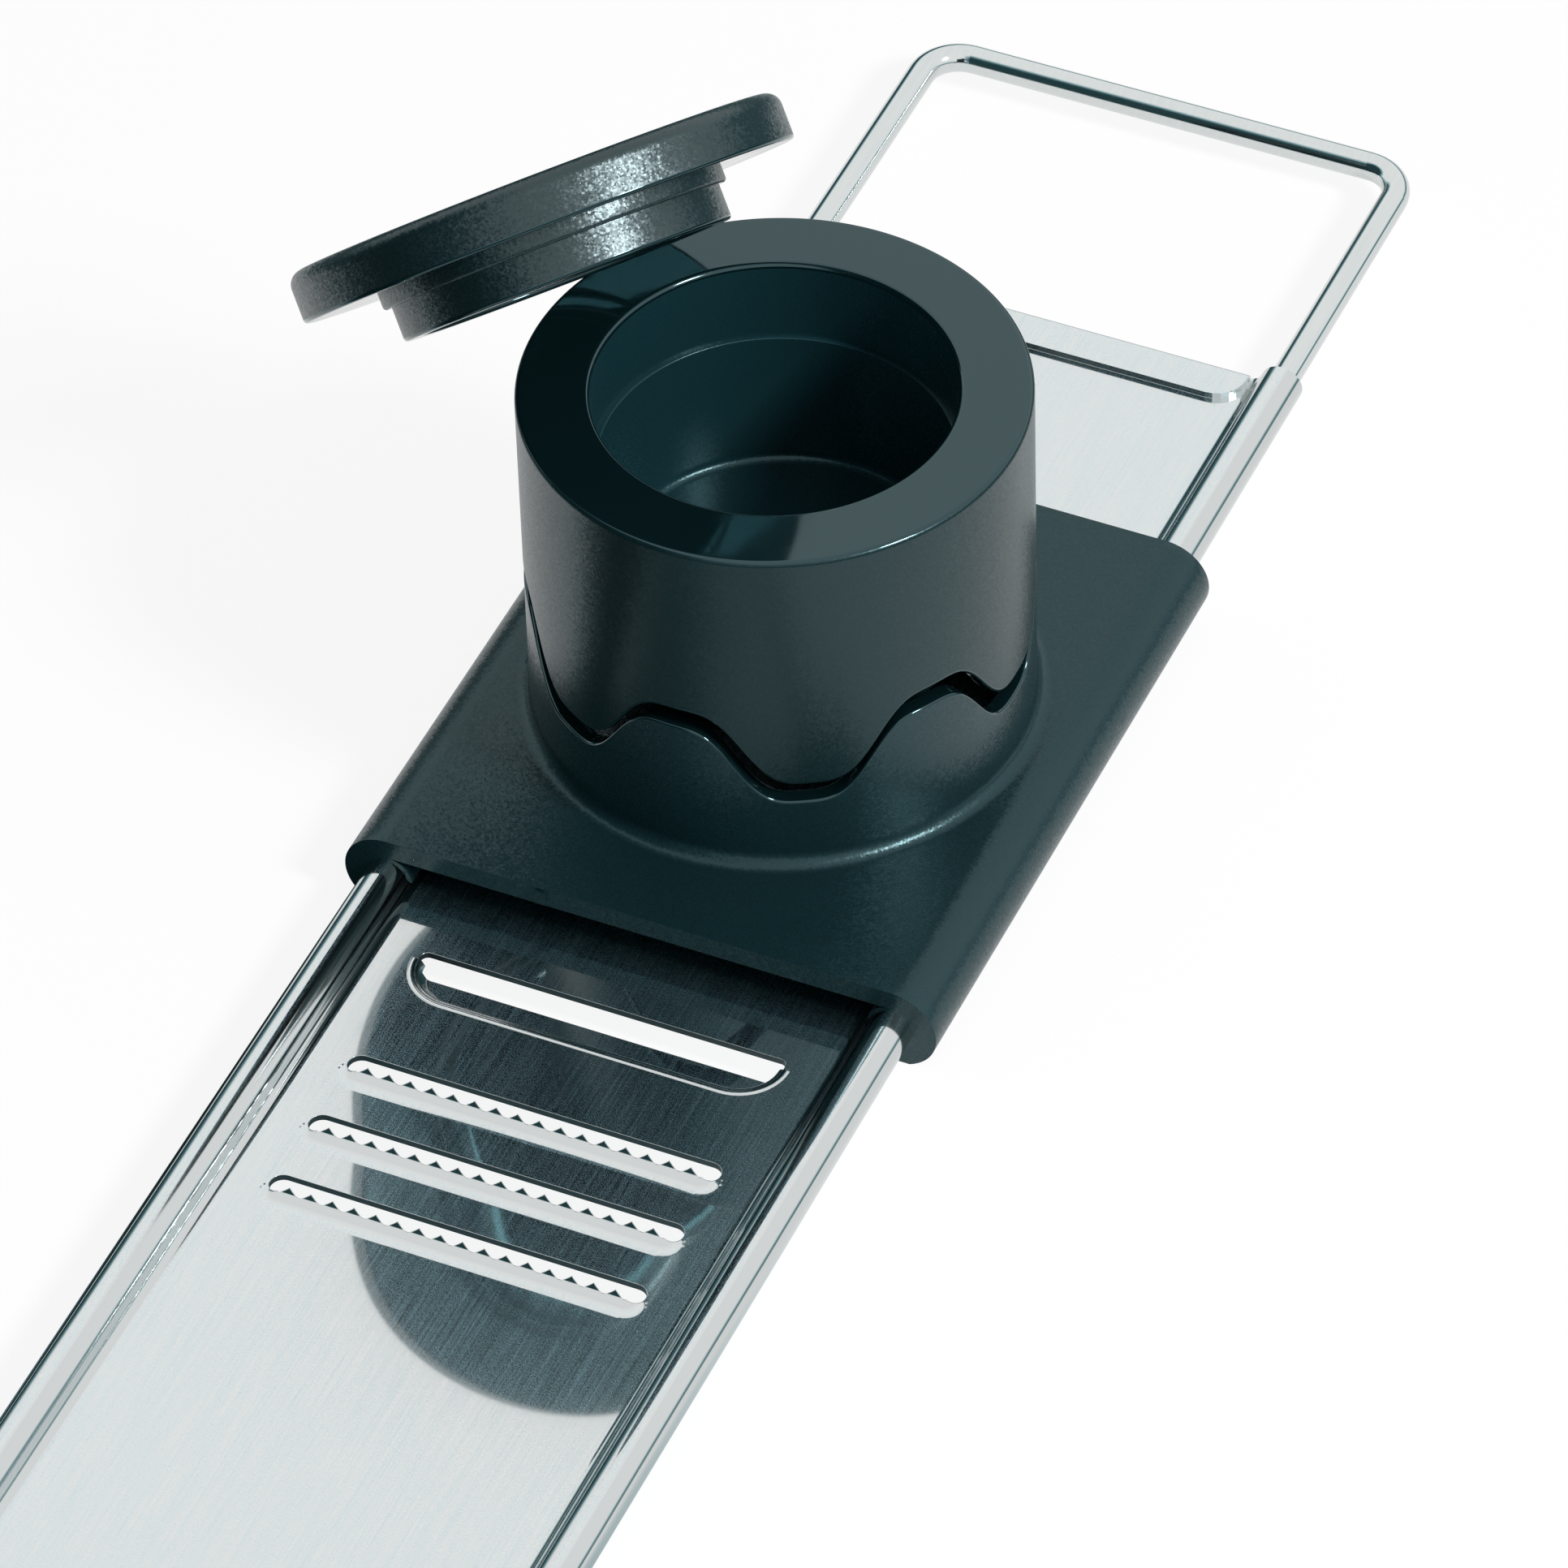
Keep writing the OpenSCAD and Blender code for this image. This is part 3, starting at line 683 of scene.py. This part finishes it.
# Two values: 1 for what is seen directly, in a reflection or through glass, and 1 for reflections alone
def seenRays(tree):
    path = addNode(tree, "ShaderNodeLightPath")
    glossy = path.outputs["Is Glossy Ray"]
    seen = addNode(tree, "ShaderNodeMath", links={0: path.outputs["Is Camera Ray"], 1: glossy},
                   operation="MAXIMUM")
    seen = addNode(tree, "ShaderNodeMath",
                   links={0: seen.outputs[0], 1: path.outputs["Is Transmission Ray"]}, operation="MAXIMUM")
    return seen.outputs[0], glossy


# Darkness from 0 to 1 round a direction: full within the inner angle and none outside the outer one
def darkPart(tree, way, part):
    middle = direction(part["azimuth"], part["elevation"])
    inner, outer = (math.cos(math.radians(part[name])) for name in ("inner", "outer"))
    facing = addNode(tree, "ShaderNodeVectorMath", {1: middle}, {0: way}, operation="DOT_PRODUCT")
    dark = addNode(tree, "ShaderNodeMapRange",
                   {"From Min": outer, "From Max": inner, "To Max": 1 - part["tone"]},
                   {"Value": facing.outputs["Value"]}, interpolation_type="SMOOTHSTEP")
    return dark.outputs[0]


# Share of the light that dark parts of the room leave, and its tint, in reflections only
def dimmed(tree, shades, glossy, darkTint):
    kept = None
    for shade in shades:
        dark = addNode(tree, "ShaderNodeMath", links={0: shade, 1: glossy}, operation="MULTIPLY")
        left = addNode(tree, "ShaderNodeMath", {0: 1.0}, {1: dark.outputs[0]}, operation="SUBTRACT")
        if kept is not None:
            left = addNode(tree, "ShaderNodeMath", links={0: kept, 1: left.outputs[0]}, operation="MULTIPLY")
        kept = left.outputs[0]
    tint = addNode(tree, "ShaderNodeMix", {"A": hexColour(darkTint), "B": (1, 1, 1, 1)}, {0: kept},
                   data_type="RGBA")
    return kept, tint.outputs["Result"]


# Floor: pale, seen as white, and it keeps a soft shadow
floorLook = {
    "colour": "#EDEDED",
    "seenGlow": (0.88, 0.76),       # share that no shadow darkens, as seen and in reflections
    "seenShade": (0.14, 0.2),       # share that the shadow darkens, as seen and in reflections
    "whiteTo": 0.1,                 # m from the middle, where reflections start to lose the white
    "darkFrom": 0.2,                # m
    "darkTone": 0.15,
    "darkTint": "#95F1FF",
    "darkSectors": [                # where reflections show a dark part of the room, in degrees
        {"azimuth": -37.0, "elevation": 0.0, "inner": 8.0, "outer": 24.0, "tone": 0.05},
        {"azimuth": -14.0, "elevation": 0.0, "inner": 14.0, "outer": 44.0, "tone": 0.45},
    ],
    "halfWidth": 3.0,               # m
}


# Matt white card that keeps a soft shadow. In reflections it darkens away from the part.
def mattCard(look):
    material, tree = newMaterial("matt_white_card")
    seen, glossy = seenRays(tree)
    place = addNode(tree, "ShaderNodeTexCoord").outputs["Object"]
    far = addNode(tree, "ShaderNodeVectorMath", links={0: place}, operation="LENGTH")
    fade = addNode(tree, "ShaderNodeMapRange",
                   {"From Min": look["whiteTo"], "From Max": look["darkFrom"],
                    "To Max": 1 - look["darkTone"]},
                   {"Value": far.outputs["Value"]}, interpolation_type="SMOOTHSTEP")
    way = addNode(tree, "ShaderNodeVectorMath", links={0: place}, operation="NORMALIZE").outputs[0]
    shades = [fade.outputs[0]] + [darkPart(tree, way, sector) for sector in look["darkSectors"]]
    kept, tint = dimmed(tree, shades, glossy, look["darkTint"])
    shares = []
    for direct, reflected in (look["seenGlow"], look["seenShade"]):
        tone = addNode(tree, "ShaderNodeMapRange", {"To Min": direct, "To Max": reflected},
                       {"Value": glossy})
        tone = addNode(tree, "ShaderNodeMath", links={0: tone.outputs[0], 1: kept}, operation="MULTIPLY")
        shares.append(tone.outputs[0])
    glow = addNode(tree, "ShaderNodeEmission", links={"Color": tint, "Strength": shares[0]})
    shade = addNode(tree, "ShaderNodeBsdfDiffuse", links={"Color": shares[1]})
    white = addNode(tree, "ShaderNodeAddShader", links={0: shade.outputs[0], 1: glow.outputs[0]})
    card = addNode(tree, "ShaderNodeBsdfDiffuse", {"Color": hexColour(look["colour"])})
    mixed = addNode(tree, "ShaderNodeMixShader", links={0: seen, 1: card.outputs[0], 2: white.outputs[0]})
    addNode(tree, "ShaderNodeOutputMaterial", links={"Surface": mixed.outputs[0]})
    return material


def makeFloor(look):
    mesh = bmesh.new()
    bmesh.ops.create_grid(mesh, x_segments=8, y_segments=8, size=look["halfWidth"])
    data = bpy.data.meshes.new("floor")
    mesh.to_mesh(data)
    mesh.free()
    data.materials.append(mattCard(look))
    floor = bpy.data.objects.new("floor", data)
    floor.location.z = cadBox[0][2]
    bpy.context.scene.collection.objects.link(floor)


# Light: an even white surround, with dark parts of the room in reflections, and one soft lamp from the right
lightLook = {
    "surround": 0.36,               # on matt surfaces
    "background": 1.0,              # as seen, also in reflections
    "lampAzimuth": 78.0,            # degrees, 0 is in front and 90 is to the right
    "lampElevation": 42.0,
    "lampDistance": 0.8,            # m
    "lampSize": 0.17,               # m
    "lampShare": 0.7,               # of a white surface that faces it
    "darkCards": [                  # in degrees, the first from straight below to just over the horizon
        {"azimuth": 0.0, "elevation": -90.0, "inner": 93.0, "outer": 102.0, "tone": 0.3},
        {"azimuth": -46.0, "elevation": 20.0, "inner": 28.0, "outer": 46.0, "tone": 0.06},
        {"azimuth": -138.0, "elevation": 2.0, "inner": 12.0, "outer": 26.0, "tone": 0.12},
    ],
    "darkTint": "#95F1FF",
}


def makeSurround(look):
    world = bpy.data.worlds.new("white_surround")
    bpy.context.scene.world = world
    world.use_nodes = True
    tree = world.node_tree
    tree.nodes.clear()
    seen, glossy = seenRays(tree)
    strength = addNode(tree, "ShaderNodeMapRange",
                       {"To Min": look["surround"], "To Max": look["background"]}, {"Value": seen})
    way = addNode(tree, "ShaderNodeTexCoord").outputs["Generated"]
    shades = [darkPart(tree, way, card) for card in look["darkCards"]]
    kept, tint = dimmed(tree, shades, glossy, look["darkTint"])
    strength = addNode(tree, "ShaderNodeMath", links={0: strength.outputs[0], 1: kept}, operation="MULTIPLY")
    back = addNode(tree, "ShaderNodeBackground", links={"Color": tint, "Strength": strength.outputs[0]})
    addNode(tree, "ShaderNodeOutputWorld", links={"Surface": back.outputs[0]})


def makeLamp(look):
    lamp = bpy.data.lights.new("soft_lamp", "AREA")
    lamp.shape = "DISK"
    lamp.size = look["lampSize"]
    lamp.energy = look["lampShare"] * (math.pi * look["lampDistance"]) ** 2
    holder = bpy.data.objects.new("soft_lamp", lamp)
    towards = direction(look["lampAzimuth"], look["lampElevation"])
    holder.location = towards * look["lampDistance"]
    holder.rotation_euler = towards.to_track_quat("Z", "Y").to_euler()
    bpy.context.scene.collection.objects.link(holder)


# Camera: the view that was fitted to the straight edges and circles
cameraView = {
    "target": (2.767, -6.388, 0.0),     # mm
    "azimuth": 25.235,                  # degrees
    "elevation": 44.19,
    "roll": -1.799,
    "distance": 817.95,                 # mm
    "sensor": 36.0,
    "focalPixels": 12810,               # on an image 1932 pixels wide
    "imageWidth": 1932,
    "clip": (0.01, 20.0),               # m
}


def makeCamera(view):
    data = bpy.data.cameras.new("photo_camera")
    data.sensor_width = view["sensor"]
    data.sensor_fit = "HORIZONTAL"
    data.lens = view["focalPixels"] / view["imageWidth"] * view["sensor"]
    data.clip_start, data.clip_end = view["clip"]
    back = direction(view["azimuth"], view["elevation"])
    level = Vector((0, 0, 1)).cross(back).normalized()
    upright = back.cross(level)
    roll = math.radians(view["roll"])
    right = level * math.cos(roll) + upright * math.sin(roll)
    up = back.cross(right)
    camera = bpy.data.objects.new("photo_camera", data)
    turned = Matrix((right, up, back)).transposed().to_4x4()
    place = Vector(view["target"]) * mm + back * view["distance"] * mm
    camera.matrix_world = Matrix.Translation(place) @ turned
    bpy.context.scene.collection.objects.link(camera)
    bpy.context.scene.camera = camera


makeFloor(floorLook)
makeSurround(lightLook)
makeLamp(lightLook)
makeCamera(cameraView)
bpy.context.scene.view_settings.view_transform = "Standard"
print("floor, light and camera set")

bpy.context.view_layer.update()
